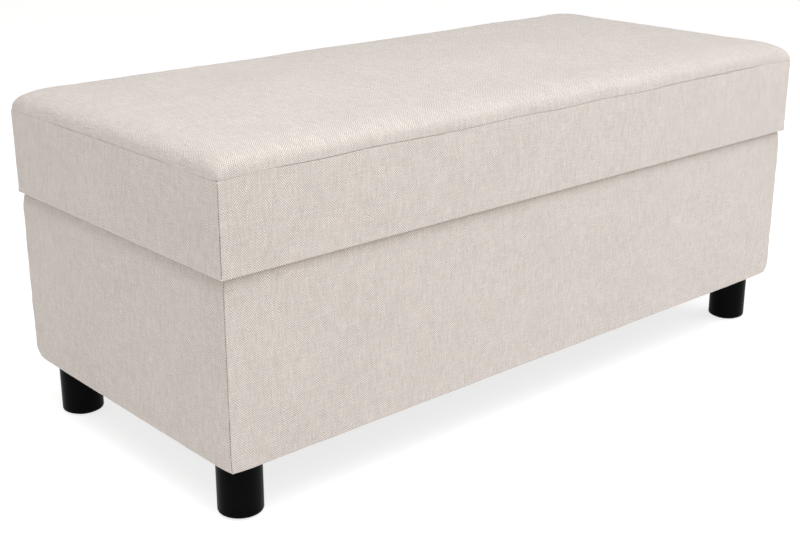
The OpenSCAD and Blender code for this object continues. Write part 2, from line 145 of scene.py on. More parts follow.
class Shade:
    """A node material, and short names for the nodes that the materials below use."""

    def __init__(self, name, colour, roughness, metallic=0.0):
        self.material = bpy.data.materials.new(name)
        self.material.use_nodes = True
        self.nodes = self.material.node_tree.nodes
        self.links = self.material.node_tree.links
        self.shader = self.nodes["Principled BSDF"]
        self.colour = colour
        self.set("Base Color", (*colour, 1))
        self.set("Roughness", roughness)
        self.set("Metallic", metallic)

    def feed(self, socket, value):
        """Links a socket to another one, or sets it to a number, a vector or a colour."""
        if isinstance(value, bpy.types.NodeSocket):
            self.links.new(value, socket)
        else:
            socket.default_value = value

    def set(self, name, value):
        self.feed(self.shader.inputs[name], value)

    def node(self, kind, output, inputs, **settings):
        made = self.nodes.new(kind)
        for key, value in settings.items():
            setattr(made, key, value)
        for key, value in inputs.items():
            self.feed(made.inputs[key], value)
        return made.outputs[output]

    def math(self, operation, *values):
        return self.node("ShaderNodeMath", 0, dict(enumerate(values)), operation=operation)

    def place(self):
        return self.node("ShaderNodeTexCoord", "Object", {})

    def weave(self):
        """The cloth's own coordinates, across and along its warp."""
        flat = self.node("ShaderNodeAttribute", "Vector", {}, attribute_name="weave")
        return [self.node("ShaderNodeSeparateXYZ", axis, {"Vector": flat}) for axis in "XY"]

    def point(self, x=0.0, y=0.0, z=0.0):
        return self.node("ShaderNodeCombineXYZ", 0, {"X": x, "Y": y, "Z": z})

    def stretch(self, vector, scale):
        return self.node("ShaderNodeMapping", 0, {"Vector": vector, "Scale": scale})

    def noise(self, vector, scale, detail=3.0, roughness=0.5):
        inputs = {"Vector": vector, "Scale": scale, "Detail": detail, "Roughness": roughness}
        return self.node("ShaderNodeTexNoise", "Fac", inputs)

    def cells(self, vector, scale):
        """Distances from the middles of scattered cells."""
        return self.node("ShaderNodeTexVoronoi", "Distance", {"Vector": vector, "Scale": scale})

    def spread(self, value, low, high, low_in=0.0, high_in=1.0):
        """A value that runs from low_in to high_in, stretched to run from low to high."""
        inputs = {"Value": value, "From Min": low_in, "From Max": high_in}
        return self.node("ShaderNodeMapRange", 0, {**inputs, "To Min": low, "To Max": high})

    def vary(self, noise, low, high):
        """Noise, which is mostly between 0.3 and 0.7, stretched to run from low to high."""
        return self.spread(noise, low, high, 0.3, 0.7)

    def mix(self, share, first, second, blend="MIX"):
        """Between two colours, each a tuple or a socket."""
        # a mix node has sockets for each kind of value: these are the ones for colours
        share_in, first_in, second_in, out = 0, 6, 7, 2
        colours = [(*c, 1) if isinstance(c, tuple) else c for c in (first, second)]
        inputs = {share_in: share, first_in: colours[0], second_in: colours[1]}
        return self.node("ShaderNodeMix", out, inputs, data_type="RGBA", blend_type=blend)

    def tint(self, colour, factor):
        """A colour made lighter or darker by a number that varies over the surface."""
        return self.mix(1.0, colour, self.point(factor, factor, factor), "MULTIPLY")

    def tone(self, factor):
        """Makes the material's own colour lighter or darker over the surface."""
        self.set("Base Color", self.tint(self.colour, factor))

    def bump(self, height, strength, distance):
        inputs = {"Height": height, "Strength": strength, "Distance": distance}
        self.set("Normal", self.node("ShaderNodeBump", "Normal", inputs))


def yarn_cloth(name, warp, weft, pitch, contrast, relief, streak):
    """Plain weave: yarns over and under in turn, warp and weft of two colours, and painted shade in
    its hollows.
    """
    s = Shade(name, warp, 0.88)
    u, v = s.weave()

    def yarns(across, along, slow, quick):
        """Yarns side by side, in slow bends and quicker ones: the number of a point's yarn,
        and how high the point is on the yarn's round."""
        place = s.point(across, along)
        bend = s.math("MULTIPLY", s.noise(place, quick, 1), 0.35)
        bend = s.math("ADD", s.noise(place, slow, 1), bend)
        rows = s.math("ADD", s.math("DIVIDE", across, pitch), s.spread(bend, -2, 2))
        off_middle = s.math("SUBTRACT", s.math("FRACT", rows), 0.5)
        return s.math("FLOOR", rows), s.math("COSINE", s.math("MULTIPLY", off_middle, 2.6))

    def slubbed(colour, place):
        """Each yarn is lighter and darker along its own length, unlike the yarns beside it."""
        return s.tint(colour, s.vary(s.noise(place, 1, 3, 0.65), 1 - streak, 1 + streak))

    warp_row, warp_round = yarns(u, v, 34, 120)
    weft_row, weft_round = yarns(v, u, 27, 140)
    height = s.math("MULTIPLY", warp_round, weft_round)
    turn = s.math("MODULO", s.math("ABSOLUTE", s.math("ADD", warp_row, weft_row)), 2.0)
    warp_up = s.math("LESS_THAN", turn, 0.5)
    warp_place = s.point(s.math("MULTIPLY", warp_row, 7.31), s.math("MULTIPLY", v, 45))
    weft_place = s.point(s.math("MULTIPLY", u, 45), s.math("MULTIPLY", weft_row, 5.77))
    warp_tone, weft_tone = slubbed(warp, warp_place), slubbed(weft, weft_place)
    cloud = s.noise(s.point(u, v), 9, 3)
    colour = s.mix(warp_up, weft_tone, warp_tone)
    # painted shade: the weave's colour is darker where its yarns dip low, between their rounds
    hollow_shade = s.spread(height, 1 - contrast, 1.0, 0.1, 0.8)
    # the painted hollow shade, times a random cloudy tone in the cloth
    shade_and_cloud = s.math("MULTIPLY", hollow_shade, s.vary(cloud, 0.975, 1.025))
    s.set("Base Color", s.tint(colour, shade_and_cloud))
    s.set("Specular IOR Level", 0.25)
    s.set("Sheen Weight", 0.25)
    s.set("Sheen Roughness", 0.5)
    fuzz = s.noise(s.point(u, v), 2600, 2)
    s.bump(s.math("ADD", height, s.math("MULTIPLY", fuzz, 0.3)), relief, 0.35 * MM)
    return s.material


def felt_cloth(name, colour):
    """Spunbond cloth: matted fibres, welded in many small dots."""
    s = Shade(name, colour, 0.85)
    flat = s.point(*s.weave())
    fibres = s.noise(s.stretch(flat, (900, 2600, 1)), 1, 4, 0.7)
    weld = s.cells(s.stretch(flat, (420, 420, 1)), 1)
    matted = s.math("MULTIPLY", fibres, s.noise(flat, 160, 3))
    s.tone(s.spread(matted, 0.7, 1.5, 0.1, 0.45))
    s.set("Roughness", s.spread(weld, 0.55, 0.9, 0.05, 0.3))
    s.bump(s.math("ADD", fibres, s.spread(weld, 0.0, 1.0, 0.05, 0.3)), 0.5, 0.2 * MM)
    return s.material


def wood(name, light, dark):
    """Bare timber with its rings and pores drawn out along X."""
    s = Shade(name, light, 0.6)
    rings = s.noise(s.stretch(s.place(), (2.5, 60, 60)), 1, 4, 0.6)
    pores = s.noise(s.stretch(s.place(), (35, 840, 840)), 1, 2)
    ring_share = s.vary(rings, 0.0, 0.8)
    pore_share = s.spread(pores, 0.0, 0.2, 0.35, 0.65)
    s.set("Base Color", s.mix(s.math("ADD", ring_share, pore_share), light, dark))
    s.set("Roughness", s.spread(pores, 0.5, 0.75))
    s.bump(s.math("ADD", rings, pores), 0.15, 0.3 * MM)
    return s.material


def lacquer(name, colour):
    """Dark satin lacquer on turned wood, with the pores just showing."""
    s = Shade(name, colour, 0.45)
    pores = s.noise(s.stretch(s.place(), (900, 900, 40)), 1, 3)
    wear = s.noise(s.place(), 25, 3)
    s.tone(s.vary(wear, 0.8, 1.4))
    s.set("Roughness", s.vary(wear, 0.3, 0.42))
    s.set("Specular IOR Level", 0.03)
    s.bump(pores, 0.12, 0.15 * MM)
    return s.material


# How fine a metal's surface noise is along x, y and z
BRUSHED = (60, 2400, 2400)
POLISHED = (500, 500, 500)


def metal(name, colour, roughness, finish):
    """Metal with fine lines or grain and a little mottling."""
    s = Shade(name, colour, roughness, 1.0)
    lines = s.noise(s.stretch(s.place(), finish), 1, 3)
    mottle = s.noise(s.place(), 90, 3)
    s.tone(s.vary(mottle, 0.85, 1.08))
    s.set("Roughness", s.vary(lines, roughness - 0.06, roughness + 0.12))
    s.bump(lines, 0.08, 0.05 * MM)
    return s.material


def moulded(name, colour, roughness, grain=900):
    """Paint, rubber or plastic with a fine even grain."""
    s = Shade(name, colour, roughness)
    peel = s.noise(s.place(), grain, 3)
    dust = s.noise(s.place(), 60, 3)
    s.tone(s.vary(dust, 0.85, 1.3))
    s.set("Roughness", s.vary(dust, roughness - 0.05, roughness + 0.1))
    s.bump(peel, 0.2, 0.1 * MM)
    return s.material


def foam_cells(name, colour):
    """Open-celled foam."""
    s = Shade(name, colour, 0.95)
    open_cells = s.cells(s.place(), 900)
    tone = s.noise(s.place(), 30, 2)
    shade = s.math("MULTIPLY", s.spread(open_cells, 1.0, 0.7), s.spread(tone, 0.95, 1.05))
    s.tone(shade)
    s.bump(open_cells, 0.6, 0.4 * MM)
    return s.material


def fibre_fill(name, colour):
    """Polyester wadding, its strands mostly along X."""
    s = Shade(name, colour, 0.95)
    strands = s.noise(s.stretch(s.place(), (300, 1400, 1400)), 1, 5, 0.75)
    s.tone(s.vary(strands, 0.8, 1.1))
    s.set("Sheen Weight", 0.4)
    s.bump(strands, 0.8, 0.8 * MM)
    return s.material


def thread(name, colour):
    """Sewing thread."""
    s = Shade(name, colour, 0.7)
    twist = s.cells(s.place(), 2200)
    s.tone(s.spread(twist, 0.8, 1.1))
    s.bump(twist, 0.5, 0.1 * MM)
    return s.material


FABRIC = "upholstery_fabric"
# Warp and weft of the upholstery, then of the lining
WARP, WEFT = (0.86, 0.80, 0.75), (0.51, 0.445, 0.40)
LINING_WARP, LINING_WEFT = (0.42, 0.40, 0.37), (0.36, 0.34, 0.31)
MATERIALS = {
    FABRIC: yarn_cloth(
        "upholstery_weave", WARP, WEFT, 1.5 * MM, contrast=0.36, relief=0.6, streak=0.17
    ),
    "lining_cloth": yarn_cloth(
        "lining_weave", LINING_WARP, LINING_WEFT, 0.7 * MM, contrast=0.2, relief=0.4, streak=0.04
    ),
    "dust_cloth": felt_cloth("dust_spunbond", (0.03, 0.03, 0.032)),
    "foam": foam_cells("foam_cells", (0.88, 0.83, 0.62)),
    "wadding": fibre_fill("wadding_fibres", (0.9, 0.9, 0.88)),
    "plywood": wood("plywood_face", (0.72, 0.56, 0.38), (0.52, 0.36, 0.21)),
    "batten_wood": wood("batten_pine", (0.80, 0.63, 0.42), (0.62, 0.42, 0.24)),
    "leg_lacquer": lacquer("leg_lacquer", (0.0018, 0.0018, 0.0019)),
    "glide_plastic": moulded("glide_plastic", (0.03, 0.03, 0.03), 0.6),
    "bumper_rubber": moulded("bumper_rubber", (0.03, 0.03, 0.03), 0.75, 1500),
    "zinc_steel": metal("zinc_steel", (0.62, 0.63, 0.65), 0.32, BRUSHED),
    "strut_paint": moulded("strut_paint", (0.012, 0.012, 0.013), 0.3, 400),
    "rod_chrome": metal("rod_chrome", (0.78, 0.79, 0.80), 0.12, POLISHED),
    "piston_plastic": moulded("piston_plastic", (0.2, 0.2, 0.2), 0.5),
    "thread": thread("seam_thread", (0.71, 0.65, 0.60)),
    # painted shade: the corner seams' thread is near black, standing in for the shade in their
    # grooves
    "groove_shade_thread": thread("corner_thread", (0.13, 0.11, 0.095)),
}


# ---- Meshes ----

def running(steps):
    """Where a row of steps starts, and where each of them ends."""
    return np.concatenate([[0.0], np.cumsum(steps)])


def graded(length, fine, coarse, growth=1.15):
    """Positions from 0 to length, close together at both ends and wider in the middle."""
    steps, step, done = [], fine, 0.0
    while done + step < length / 2:
        steps.append(step)
        done += step
        step = min(step * growth, coarse)
    scale = (length / 2) / (done if done > 0 else length / 2)
    half = running(steps) * scale
    return np.concatenate([half, length - half[-2::-1]])


def plan_grid(low, high, fine, coarse, growth=1.15):
    """A grid over a box in plan, graded both ways: its x and y, from the back left corner."""
    xs = low.x + graded(high.x - low.x, fine, coarse, growth)
    ys = high.y - graded(high.y - low.y, fine, coarse, growth)
    return np.meshgrid(xs, ys)


def normals(points):
    """Unit normals of a grid of points, rows by columns."""
    down = np.gradient(points, axis=0)
    over = np.gradient(points, axis=1)
    n = np.cross(down, over)
    return n / np.maximum(np.linalg.norm(n, axis=2, keepdims=True), 1e-12)


def grid_faces(rows, columns, start=0, flip=False):
    """Four-sided faces between the points of a grid, numbered from start."""
    i = np.arange(rows - 1)[:, None] * columns + np.arange(columns - 1)[None, :] + start
    quads = np.stack([i, i + columns, i + columns + 1, i + 1], axis=-1).reshape(-1, 4)
    return quads[:, ::-1] if flip else quads


def closed(outer, inner):
    """Vertices and faces of the solid between two grids of points."""
    rows, columns = outer.shape[:2]
    count = rows * columns
    index = np.arange(count).reshape(rows, columns)
    rim = np.concatenate([index[0, :-1], index[:-1, -1], index[-1, :0:-1], index[:0:-1, 0]])
    after = np.roll(rim, -1)
    faces = [
        grid_faces(rows, columns),
        grid_faces(rows, columns, count, flip=True),
        np.stack([rim, after, after + count, rim + count], axis=-1),
    ]
    verts = np.concatenate([outer.reshape(-1, 3), inner.reshape(-1, 3)])
    return verts, np.concatenate(faces).tolist()


def shell(points, weave, thickness):
    """A closed thin shell from a grid of outer points: vertices, faces and weave.
    Seen from outside, the grid's rows follow one another downwards, its columns to the right."""
    verts, faces = closed(points, points - normals(points) * thickness)
    return verts, faces, np.concatenate([weave.reshape(-1, 2)] * 2)


def ring_faces(rings, count, start=0):
    """Four-sided faces between rings of count points each, numbered from start."""
    faces = []
    for k in range(start, start + (rings - 1) * count, count):
        for i in range(count):
            j = (i + 1) % count
            faces.append([k + i, k + j, k + count + j, k + count + i])
    return faces


def make_piece(name, parts, slot, body, replaced=(), material=None):
    """One object from several (vertices, faces, weave) parts, riding on a body.
    Its material is its slot's unless another is named."""
    verts, faces, weaves, start = [], [], [], 0
    for part_verts, part_faces, weave in parts:
        verts.append(part_verts)
        faces.extend([i + start for i in face] for face in part_faces)
        weaves.append(np.column_stack([weave, np.zeros(len(weave))]))
        start += len(part_verts)
    mesh = bpy.data.meshes.new(name)
    mesh.from_pydata(np.concatenate(verts).tolist(), [], faces)
    weave = mesh.attributes.new("weave", "FLOAT_VECTOR", "POINT")
    weave.data.foreach_set("vector", np.concatenate(weaves).astype(np.float32).ravel())
    mesh.shade_smooth()
    mesh.materials.append(MATERIALS[material or slot])
    piece = add_object(name, mesh)
    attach(piece, body)
    if replaced:
        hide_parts(*replaced)
    return piece


def ripple(a, b, seed, shortest, longest, waves=14):
    """Smooth seeded unevenness of about unit size over two lengths in metres."""
    random = np.random.default_rng(seed)
    total = np.zeros(np.broadcast(a, b).shape)
    for _ in range(waves):
        k = 2 * math.pi / random.uniform(shortest, longest)
        turn, phase = random.uniform(0, 2 * math.pi, 2)
        total += np.sin(k * (a * math.cos(turn) + b * math.sin(turn)) + phase)
    return total / math.sqrt(waves / 2)


def stacked(*values):
    """Points whose coordinates are the given arrays, each stretched over the others' shape."""
    return np.stack(np.broadcast_arrays(*values), axis=-1)


def place_side(side, box, along, depth, height):
    """Points on one side of a box: along it from its left end as seen from outside,
    and depth inwards from its face."""
    low, high = box
    if side == FRONT:
        x, y = low.x + along, low.y + depth
    elif side == BACK:
        x, y = high.x - along, high.y - depth
    elif side == LEFT:
        x, y = low.x + depth, high.y - along
    else:
        x, y = high.x - depth, low.y + along
    return stacked(x, y, height)


def side_length(side, box):
    """How long a box is along one side."""
    size = box[1] - box[0]
    return size.x if side in (FRONT, BACK) else size.y


def from_ends(along, length):
    """Distance from the nearer end of a length."""
    return np.minimum(along, length - along)


def from_edges(x, y, low, high):
    """Distances from the nearer end and from the nearer long edge of a box in plan."""
    return np.minimum(x - low.x, high.x - x), np.minimum(y - low.y, high.y - y)


def fade(distance, reach):
    """1 at no distance, falling off as a bell does, wider as reach is larger."""
    return np.exp(-np.square(distance / reach))


# Distance from a corner at which a sewn panel starts to roll in towards the seam, and how far
# round it rolls
ROLL = SEAM_R * (1 + math.sqrt(2))
ROLL_TURN = math.radians(135)


def roll_in(along, length):
    """Where a sewn panel's points lie near its two ends: along the face, and inwards."""
    from_end = from_ends(along, length)
    angle = np.clip((ROLL - from_end) / ROLL, 0, 1) * ROLL_TURN
    a = np.where(from_end < ROLL, ROLL - SEAM_R * np.sin(angle), from_end)
    inward = np.where(from_end < ROLL, SEAM_R * (1 - np.cos(angle)), 0.0)
    return np.where(along < length / 2, a, length - a), inward


def pucker(along, length, height, seed):
    """How far the cloth is drawn in beside an upright seam."""
    from_end = from_ends(along, length)
    near = fade(from_end, 4 * MM) * (1 + 0.6 * ripple(height, 0, seed, 8 * MM, 30 * MM))
    wide = np.exp(-from_end / (16 * MM)) * ripple(height, from_end, seed + 1, 14 * MM, 60 * MM)
    return 0.14 * MM * near + 0.12 * MM * wide


def move_corner(depth, from_left, length, amount):
    """Moves points inwards, and at a panel's ends along it as well, so that the ends still meet."""
    shift = amount * fade(from_ends(from_left, length), 5 * MM)
    return depth + amount, from_left + np.where(from_left < length / 2, shift, -shift)


def mitre(along, length, depth):
    """Where points at a depth lie along a panel whose ends slant in at 45 degrees."""
    return length / 2 + (along - length / 2) * (1 - depth / (length / 2))


def arc(radius, start, end, steps):
    """Angles from start to end, in degrees, as (cosine, sine) times a radius."""
    angles = np.radians(np.linspace(start, end, steps))
    return radius * np.cos(angles), radius * np.sin(angles)


# ---- Lid ----

LID_SIZE = LID[1] - LID[0]
CROWN = TOP_Z - SEAM_Z
CORNER_DIP = 1.2 * MM
# How far a border's lower edge hangs below the board, its radius, and how far it turns in
EDGE_SAG, LID_EDGE_R, LID_TURN_IN = 1.3 * MM, 1.8 * MM, 43 * MM
# A border's cloth that is less than this above its lowest place has turned in under the board
UNDER_BAND = 0.6 * MM
# How deep a border's gathers below the top seam are, and its broad unevenness
GATHER, UNEVEN = 0.22 * MM, 0.15 * MM
# The top turns over from the seam within this run; a small share of its rise is a flat dome
CROWN_RUN, CROWN_POWER = 56 * MM, 3.2
DOME, DOME_POWER_X, DOME_POWER_Y = 0.06, 0.4, 1.2
# How far the simulated cloth swells and wrinkles: the top, then the borders
TOP_SWELL, TOP_WRINKLE = 3.0 * MM, 0.8 * MM
SIDE_SWELL, SIDE_WRINKLE = 0.7 * MM, 0.25 * MM
FLAT_SWELL = 0.0


def seam_height(side, along, length):
    """The top seam wanders a little and is drawn down at each corner."""
    from_end = from_ends(along, length)
    wander = 0.6 * MM * ripple(along, 0, 11 + SIDES.index(side), 110 * MM, 400 * MM, 6)
    held = 1 - np.exp(-from_end / (40 * MM))
    return SEAM_Z - CORNER_DIP * np.exp(-from_end / (28 * MM)) + wander * held


def border_profile(top, sag):
    """From the top seam's groove, down the face, round the lower edge and in under it:
    inward depth, height and distance along the cloth, for a face whose seam is at the
    heights top and whose lower edge hangs by sag below the board."""
    r = LID_EDGE_R
    lip_c, lip_s = arc(SEAM_R, 90, 180, 7)
    edge_c, edge_s = arc(r, 180, 270, 7)
    low = LID[0].z - sag
    face_height = SEAM_Z - low - SEAM_R - r
    face = graded(face_height, 0.7 * MM, 3 * MM, 1.2)[1:-1]
    turn_in = np.linspace(0, LID_TURN_IN, 9)[1:]
    depth = np.concatenate([SEAM_R + lip_c, 0 * face, r + edge_c, r + turn_in])
    share = face / face_height
    # under the board the cloth rises back to it
    rise = sag * (1 - np.exp(-turn_in / (5 * MM)))
    fixed = np.concatenate([low + r + edge_s, low + rise])
    lip_z = top - SEAM_R
    height = np.concatenate([
        lip_z + lip_s[:, None], lip_z - share[:, None] * (lip_z - (low + r)),
        fixed[:, None] + 0 * top,
    ])
    step = np.hypot(np.diff(depth), np.diff(height[:, len(top) // 2]))
    return depth, height, running(step)


def lid_border(side, bulge):
    """One upright panel of the lid, rolled in at its seams and turned in under the board."""
    length = side_length(side, LID)
    along = graded(length, 0.3 * MM, 2.4 * MM, 1.12)
    # the back border has no slack, so that it clears the hinges
    sag = 0.0 if side == BACK else EDGE_SAG
    depth, height, down = border_profile(seam_height(side, along, length), sag)
    across, depth = np.meshgrid(along, depth)
    low = LID[0].z
    under = height < low + UNDER_BAND
    on_face = np.clip((height - low) / (6 * MM), 0, 1)
    seed = 30 + SIDES.index(side)
    rolled, inward = roll_in(across, length)
    face_along = np.where(under, mitre(across, length, depth), rolled)
    depth = depth + np.where(under, 0, inward)
    drawn = pucker(across, length, height, seed) * on_face
    depth, face_along = move_corner(depth, face_along, length, drawn)
    # gathers below the top seam, in some stretches deeper than in others
    below_seam = SEAM_Z - height
    gathers = ripple(across, 0.4 * below_seam, seed + 5, 9 * MM, 34 * MM)
    gathers = gathers * np.exp(-below_seam / (8 * MM))
    patches = np.clip(0.5 + ripple(across, 0, seed + 7, 90 * MM, 300 * MM, 8), 0.1, 1.6)
    uneven = ripple(across, height, seed + 9, 60 * MM, 300 * MM)
    depth = depth + on_face * (GATHER * patches * gathers + UNEVEN * uneven)
    depth = depth - on_face * bulge(side, across / length, below_seam / (SEAM_Z - low))
    points = place_side(side, LID, face_along, depth, height)
    # each panel's weave starts at another place
    weave = stacked(across + 3.1 * seed, -down[:, None])
    cover = shell(points, weave, CLOTH)
    piece = make_piece(
        f"lid_border_panel_{side}", [cover], FABRIC, "lid", [f"lid_border_{side}"]
    )


def crown_height(x_in, y_in):
    """Height of the padded top above its seam, at distances in from the nearer end and the
    nearer long edge."""
    def rise(inward):
        share = np.clip(inward / CROWN_RUN, 0, 1)
        return np.power(1 - np.power(1 - share, CROWN_POWER), 1 / CROWN_POWER)

    def arch(inward, size):
        return np.sin(np.clip(inward / (size / 2), 0, 1) * math.pi / 2)

    edge = rise(x_in) * rise(y_in)
    dome = arch(x_in, LID_SIZE.x) ** DOME_POWER_X * arch(y_in, LID_SIZE.y) ** DOME_POWER_Y
    return (CROWN - SEAM_R - TOP_SWELL) * ((1 - DOME) * edge + DOME * dome) + FLAT_SWELL * dome


def top_surface(x, y, lift):
    """Points of the padded top over a grid of plan positions inside the lid."""
    low, high = LID
    x_in, y_in = from_edges(x, y, low, high)
    # the seam's height over the whole top: each side counts for more the nearer it is
    along = {FRONT: x - low.x, BACK: high.x - x, LEFT: high.y - y, RIGHT: y - low.y}
    inward = {FRONT: y - low.y, BACK: high.y - y, LEFT: x - low.x, RIGHT: high.x - x}
    weight = {side: 1 / (inward[side] + 0.2 * MM) for side in SIDES}
    seams = [weight[s] * seam_height(s, along[s], side_length(s, LID)) for s in SIDES]
    seam = sum(seams) / sum(weight.values())
    seam = SEAM_Z + (seam - SEAM_Z) * np.exp(-np.minimum(x_in, y_in) / (45 * MM))
    z = seam + SEAM_R + crown_height(x_in, y_in) + lift
    # the four corners are rounded in plan, to meet the rolled corner seams
    tuck = 1.75 * MM * np.exp(-(x_in + y_in) / (5 * MM))
    to_right, to_back = np.sign(x - (low.x + high.x) / 2), np.sign(y - (low.y + high.y) / 2)
    return stacked(x - to_right * tuck, y - to_back * tuck, z)


def lid_top(lift):
    """The crowned top panel, with its edge rolled in to the seam all round."""
    low, high = LID
    xs = low.x + top_lines(LID_SIZE.x)
    ys = high.y - top_lines(LID_SIZE.y)
    x, y = np.meshgrid(xs, ys)
    body = top_surface(x, y, lift(x, y))
    # the cloth is cut flat, so its yarns run straight: one measure across and one along
    rows, columns = x.shape
    across = arc_length(body[rows // 2])
    along = arc_length(body[:, columns // 2])
    weave = stacked(across, -along[:, None])
    body, weave = add_lip(body, weave)
    cover = shell(body, weave, CLOTH)
    piece = make_piece("lid_top_panel", [cover], FABRIC, "lid", ["lid_top_cover"])


def top_lines(length):
    """Plan positions across the top, close together where its edge turns down."""
    run = 40 * MM
    edge = run * (1 - np.cos(np.linspace(0, math.pi / 2, 25)))
    middle = np.linspace(run, length - run, int((length - 2 * run) / (5 * MM)))
    return np.concatenate([edge, middle[1:-1], length - edge[::-1]])


def arc_length(line):
    """Distances along a line of points, from its middle."""
    steps = np.linalg.norm(np.diff(line, axis=0), axis=1)
    total = running(steps)
    return total - total[-1] / 2


def add_lip(body, weave):
    """Carries the top panel's edge on round its roll, down and in to the seam."""
    lip_c, lip_s = arc(SEAM_R, 180, 270, 7)
    rings = len(lip_c) - 1
    padded = np.pad(body, ((rings, rings), (rings, rings), (0, 0)), mode="edge")
    flat = np.pad(weave, ((rings, rings), (rings, rings), (0, 0)), mode="edge")
    rows, columns = padded.shape[:2]

    def ring_of(count):
        n = np.arange(count)
        return np.maximum(np.maximum(rings - n, n - (count - 1 - rings)), 0)

    ring_row, ring_column = np.meshgrid(ring_of(rows), ring_of(columns), indexing="ij")
    to_right = np.where(np.arange(columns) < columns / 2, 1, -1)[None, :]
    to_back = np.where(np.arange(rows) < rows / 2, -1, 1)[:, None]
    padded[..., 0] += to_right * (SEAM_R + lip_c)[ring_column]
    padded[..., 1] += to_back * (SEAM_R + lip_c)[ring_row]
    padded[..., 2] += lip_s[np.maximum(ring_row, ring_column)]
    step = SEAM_R * math.pi / 2 / rings
    flat[..., 0] -= to_right * step * ring_column
    flat[..., 1] -= to_back * step * ring_row
    return padded, flat


def lid_filling():
    """The foam block, and the wadding that rounds its top."""
    low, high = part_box("lid_foam")
    inset = 0.6 * MM
    block = rounded_block(low, high, inset, 8 * MM, 2 * MM)
    foam = make_piece("lid_foam_block", [block], "foam", "lid", ["lid_foam"])
    margin = Vector((3 * MM, 3 * MM, 0))
    x, y = plan_grid(low + margin, high - margin, 1.5 * MM, 12 * MM)
    top = top_surface(x, y, 0 * x)
    # it lies a little below the cover, and is nowhere thinner than half a millimetre
    top[..., 2] = np.maximum(top[..., 2] - CLOTH - 4 * MM, high.z + 0.5 * MM)
    layer = slab(top, high.z - inset)
    wadding = make_piece("lid_wadding_layer", [layer], "wadding", "lid", ["lid_wadding"])


def slab(top, floor_z):
    """A closed solid under a grid of points, down to a level floor."""
    under = top.copy()
    under[..., 2] = floor_z
    verts, faces = closed(top, under)
    return verts, faces, verts[:, :2]


def rounded_block(low, high, inset, corner_r, edge_r):
    """A block with rounded upright corners and rounded top and bottom edges."""
    size = (high - low) / 2
    middle = (high + low) / 2
    rings = []
    for up in (-1, 1):
        turns = np.linspace(0, math.pi / 2, 5)
        for turn in turns if up == 1 else turns[::-1]:
            drawn_in = edge_r * (1 - math.cos(turn))
            half_x, half_y = size.x - inset - drawn_in, size.y - inset - drawn_in
            z = middle.z + up * (size.z - inset - edge_r + edge_r * math.sin(turn))
            ring = outline(half_x, half_y, corner_r - drawn_in)
            rings.append([(middle.x + x, middle.y + y, z) for x, y in ring])
    count = len(rings[0])
    faces = ring_faces(len(rings), count)
    # each cap is a fan of triangles round a point in its middle
    caps = []
    for k, order in ((0, 1), (len(rings) - 1, -1)):
        centre = len(rings) * count + len(caps)
        caps.append([middle.x, middle.y, rings[k][0][2]])
        for i in range(count):
            pair = [k * count + (i + 1) % count, k * count + i][::order]
            faces.append([centre, *pair])
    verts = np.concatenate([*rings, caps])
    return verts, faces, verts[:, :2]


def outline(half_x, half_y, r, steps=6):
    """A rectangle with rounded corners, anticlockwise from above."""
    points = []
    for quarter, (sx, sy) in enumerate(((1, 1), (-1, 1), (-1, -1), (1, -1))):
        for turn in np.linspace(0, math.pi / 2, steps):
            angle = quarter * math.pi / 2 + turn
            x = sx * (half_x - r) + r * math.cos(angle)
            y = sy * (half_y - r) + r * math.sin(angle)
            points.append((x, y))
    return points


# ---- Cloth simulation of the cushion ----

CELL = 8 * MM
LAST_FRAME = 20
# The cloth is 1.2 % too large for the cushion, and a light pressure blows it up
CLOTH_SETTINGS = {
    "quality": 6,
    "mass": 0.3,
    "tension_stiffness": 15,
    "compression_stiffness": 15,
    "shear_stiffness": 5,
    "bending_stiffness": 0.4,
    "use_pressure": True,
    "uniform_pressure_force": 4,
    "shrink_min": -0.012,
}
# How often the simulated moves are smoothed to tell the swelling from the wrinkles on it
BROAD_PASSES = 6


def coarse_cushion():
    """The cushion's top and four borders as one open mesh of cells, and where each panel's
    points are in it: {name: grid of point numbers}."""
    low, high = LID
    columns, rows, levels = (round(size / CELL) + 1 for size in LID_SIZE)
    xs, ys = np.linspace(low.x, high.x, columns), np.linspace(high.y, low.y, rows)
    x, y = np.meshgrid(xs, ys)
    top = top_surface(x, y, 0 * x)
    places, numbers, grids, faces = [], {}, {}, []

    def number(place):
        key = tuple(round(c / (0.01 * MM)) for c in place)
        if key not in numbers:
            numbers[key] = len(places)
            places.append(place)
        return numbers[key]

    def panel(name, points):
        index = np.array([[number(p) for p in row] for row in points])
        grids[name] = index
        faces.extend(index.ravel()[grid_faces(*index.shape)].tolist())

    panel("top", top)
    edges = {FRONT: top[-1], BACK: top[0, ::-1], LEFT: top[:, 0], RIGHT: top[::-1, -1]}
    for side, edge in edges.items():
        share = np.linspace(0, 1, levels)[:, None]
        drop = np.repeat(edge[None], levels, axis=0)
        drop[..., 2] += (low.z - edge[:, 2]) * share
        panel(side, drop)
    return np.array(places), faces, grids


